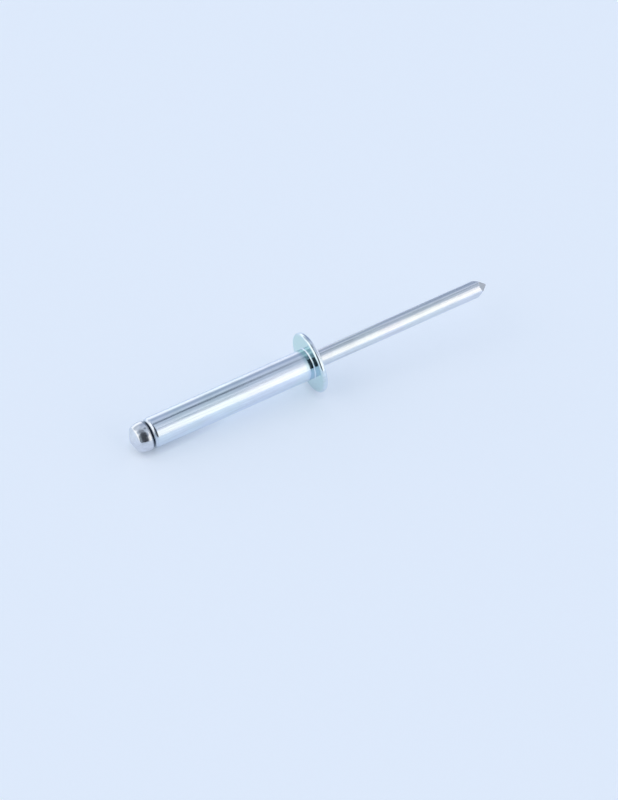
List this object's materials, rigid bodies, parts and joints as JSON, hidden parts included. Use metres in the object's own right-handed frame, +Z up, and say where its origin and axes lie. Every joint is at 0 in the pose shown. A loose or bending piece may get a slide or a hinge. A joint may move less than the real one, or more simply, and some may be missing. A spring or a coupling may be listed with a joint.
{
  "type": "blind rivet",
  "caption": "Zinc plated steel blind rivet, unset: a tubular shank with a domed flange round a headed pull mandrel, lying on its flange rim.",
  "frame": {"origin": "bottom centre of the part as it lies at rest: z = 0 is the floor that the flange rim and the mandrel head touch, x = 0 and y = 0 are the middle of its length and width", "axes": "+Z up; +X towards the mandrel's point, with the rivet's own axis in the XZ plane, raised from +X by the rest tilt of 4.95 degrees"},
  "size_m": [0.0606, 0.0096, 0.0096],
  "materials": {
    "zinc_body": "bright zinc plate with a clear blue passivation, nearly mirror smooth, with fine draw lines along the shank",
    "zinc_mandrel": "bright zinc plate, a little greyer than the body, with fine draw lines along the stem"
  },
  "bodies": {
    "root": {"rivet_body": "zinc_body", "mandrel": "zinc_mandrel"}
  },
  "joints": []
}
